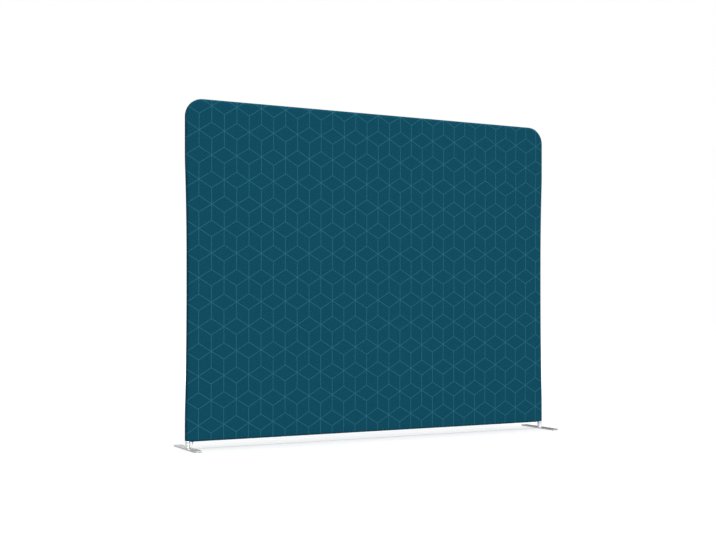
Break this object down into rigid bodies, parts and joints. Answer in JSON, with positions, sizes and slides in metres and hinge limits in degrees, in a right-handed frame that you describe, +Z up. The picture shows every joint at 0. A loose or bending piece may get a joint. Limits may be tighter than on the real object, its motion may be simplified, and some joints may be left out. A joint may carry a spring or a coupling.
{
  "type": "acoustic divider screen",
  "caption": "Free-standing divider screen: a printed stretch cover zipped over a rounded plug-together tube frame with sound-absorbing felt boards, standing on two flat swivelling feet.",
  "frame": {"origin": "on the floor, under the middle of the screen", "axes": "+Z up, +X along the screen's width to the right as seen from the front, front towards -Y"},
  "size_m": [2.518, 0.35, 2],
  "materials": {
    "printed_knit": "matte",
    "grey_felt": "matte",
    "tube_aluminium": "satin",
    "rivet_aluminium": "satin",
    "spring_steel": "satin",
    "foot_plate_steel": "satin",
    "bright_post_steel": "gloss",
    "screw_steel": "satin",
    "black_rubber": "matte",
    "black_nylon": "matte",
    "zip_nylon": "matte",
    "zip_metal": "satin"
  },
  "bodies": {
    "screen": {"bottom_left_rail": "tube_aluminium", "bottom_right_rail": "tube_aluminium", "bottom_tee": "tube_aluminium", "coupler_rivets": "rivet_aluminium", "cover_back": "printed_knit", "cover_front": "printed_knit", "left_foot_bush": "black_nylon", "left_lower_upright": "tube_aluminium", "left_rail_stub": "tube_aluminium", "left_upper_upright": "tube_aluminium", "left_upright_coupler": "tube_aluminium", "lower_centre_stile": "tube_aluminium", "lower_left_felt_board": "grey_felt", "lower_right_felt_board": "grey_felt", "right_foot_bush": "black_nylon", "right_lower_upright": "tube_aluminium", "right_rail_stub": "tube_aluminium", "right_upper_upright": "tube_aluminium", "right_upright_coupler": "tube_aluminium", "snap_spring_legs": "spring_steel", "stile_coupler": "tube_aluminium", "top_left_corner_couplers": "tube_aluminium", "top_left_corner_tube": "tube_aluminium", "top_left_rail": "tube_aluminium", "top_right_corner_couplers": "tube_aluminium", "top_right_corner_tube": "tube_aluminium", "top_right_rail": "tube_aluminium", "top_tee": "tube_aluminium", "upper_centre_stile": "tube_aluminium", "upper_left_felt_board": "grey_felt", "upper_right_felt_board": "grey_felt", "zipper_chain": "zip_nylon", "zipper_end_stops": "zip_metal"},
    "left_foot": {"left_foot_plate": "foot_plate_steel", "left_foot_post": "bright_post_steel", "left_foot_screw": "screw_steel", "left_foot_pads": "black_rubber"},
    "right_foot": {"right_foot_plate": "foot_plate_steel", "right_foot_post": "bright_post_steel", "right_foot_screw": "screw_steel", "right_foot_pads": "black_rubber"},
    "left_bottom_corner_button": {"left_bottom_corner_button": "spring_steel"},
    "left_bottom_tee_button": {"left_bottom_tee_button": "spring_steel"},
    "left_top_corner_button": {"left_top_corner_button": "spring_steel"},
    "left_top_tee_button": {"left_top_tee_button": "spring_steel"},
    "left_upright_middle_button": {"left_upright_middle_button": "spring_steel"},
    "left_upright_top_button": {"left_upright_top_button": "spring_steel"},
    "right_bottom_corner_button": {"right_bottom_corner_button": "spring_steel"},
    "right_bottom_tee_button": {"right_bottom_tee_button": "spring_steel"},
    "right_top_corner_button": {"right_top_corner_button": "spring_steel"},
    "right_top_tee_button": {"right_top_tee_button": "spring_steel"},
    "right_upright_middle_button": {"right_upright_middle_button": "spring_steel"},
    "right_upright_top_button": {"right_upright_top_button": "spring_steel"},
    "stile_bottom_button": {"stile_bottom_button": "spring_steel"},
    "stile_middle_button": {"stile_middle_button": "spring_steel"},
    "stile_top_button": {"stile_top_button": "spring_steel"},
    "zipper_slider": {"zipper_slider": "zip_metal"},
    "zipper_pull": {"zipper_pull": "zip_metal"}
  },
  "joints": [
    {"name": "left_foot_turn", "type": "hinge", "parent": "screen", "child": "left_foot", "pos_m": [-1.234, 0, 0.008], "axis": [0, 0, 1], "range_deg": [-90, 90]},
    {"name": "right_foot_turn", "type": "hinge", "parent": "screen", "child": "right_foot", "pos_m": [1.234, 0, 0.008], "axis": [0, 0, 1], "range_deg": [-90, 90]},
    {"name": "left_bottom_corner_button_press", "type": "slide", "parent": "screen", "child": "left_bottom_corner_button", "axis": [0, 0, -1], "range_m": [0, 0.0045], "stiffness_N_per_m": 1500, "springref_m": -0.002},
    {"name": "left_bottom_tee_button_press", "type": "slide", "parent": "screen", "child": "left_bottom_tee_button", "axis": [0, 0, -1], "range_m": [0, 0.0045], "stiffness_N_per_m": 1500, "springref_m": -0.002},
    {"name": "left_top_corner_button_press", "type": "slide", "parent": "screen", "child": "left_top_corner_button", "axis": [0, 0, 1], "range_m": [0, 0.0045], "stiffness_N_per_m": 1500, "springref_m": -0.002},
    {"name": "left_top_tee_button_press", "type": "slide", "parent": "screen", "child": "left_top_tee_button", "axis": [0, 0, 1], "range_m": [0, 0.0045], "stiffness_N_per_m": 1500, "springref_m": -0.002},
    {"name": "left_upright_middle_button_press", "type": "slide", "parent": "screen", "child": "left_upright_middle_button", "axis": [-1, 0, 0], "range_m": [0, 0.0045], "stiffness_N_per_m": 1500, "springref_m": -0.002},
    {"name": "left_upright_top_button_press", "type": "slide", "parent": "screen", "child": "left_upright_top_button", "axis": [-1, 0, 0], "range_m": [0, 0.0045], "stiffness_N_per_m": 1500, "springref_m": -0.002},
    {"name": "right_bottom_corner_button_press", "type": "slide", "parent": "screen", "child": "right_bottom_corner_button", "axis": [0, 0, -1], "range_m": [0, 0.0045], "stiffness_N_per_m": 1500, "springref_m": -0.002},
    {"name": "right_bottom_tee_button_press", "type": "slide", "parent": "screen", "child": "right_bottom_tee_button", "axis": [0, 0, -1], "range_m": [0, 0.0045], "stiffness_N_per_m": 1500, "springref_m": -0.002},
    {"name": "right_top_corner_button_press", "type": "slide", "parent": "screen", "child": "right_top_corner_button", "axis": [0, 0, 1], "range_m": [0, 0.0045], "stiffness_N_per_m": 1500, "springref_m": -0.002},
    {"name": "right_top_tee_button_press", "type": "slide", "parent": "screen", "child": "right_top_tee_button", "axis": [0, 0, 1], "range_m": [0, 0.0045], "stiffness_N_per_m": 1500, "springref_m": -0.002},
    {"name": "right_upright_middle_button_press", "type": "slide", "parent": "screen", "child": "right_upright_middle_button", "axis": [1, 0, 0], "range_m": [0, 0.0045], "stiffness_N_per_m": 1500, "springref_m": -0.002},
    {"name": "right_upright_top_button_press", "type": "slide", "parent": "screen", "child": "right_upright_top_button", "axis": [1, 0, 0], "range_m": [0, 0.0045], "stiffness_N_per_m": 1500, "springref_m": -0.002},
    {"name": "stile_bottom_button_press", "type": "slide", "parent": "screen", "child": "stile_bottom_button", "axis": [-1, 0, 0], "range_m": [0, 0.0045], "stiffness_N_per_m": 1500, "springref_m": -0.002},
    {"name": "stile_middle_button_press", "type": "slide", "parent": "screen", "child": "stile_middle_button", "axis": [-1, 0, 0], "range_m": [0, 0.0045], "stiffness_N_per_m": 1500, "springref_m": -0.002},
    {"name": "stile_top_button_press", "type": "slide", "parent": "screen", "child": "stile_top_button", "axis": [-1, 0, 0], "range_m": [0, 0.0045], "stiffness_N_per_m": 1500, "springref_m": -0.002},
    {"name": "zipper_run", "type": "slide", "parent": "screen", "child": "zipper_slider", "axis": [1, 0, 0], "range_m": [0, 2.401], "deforming": ["zipper_chain"]},
    {"name": "zipper_pull_swing", "type": "hinge", "parent": "zipper_slider", "child": "zipper_pull", "pos_m": [-1.2045, 0, 0.0374], "axis": [0, 1, 0], "range_deg": [-85, 85]}
  ]
}
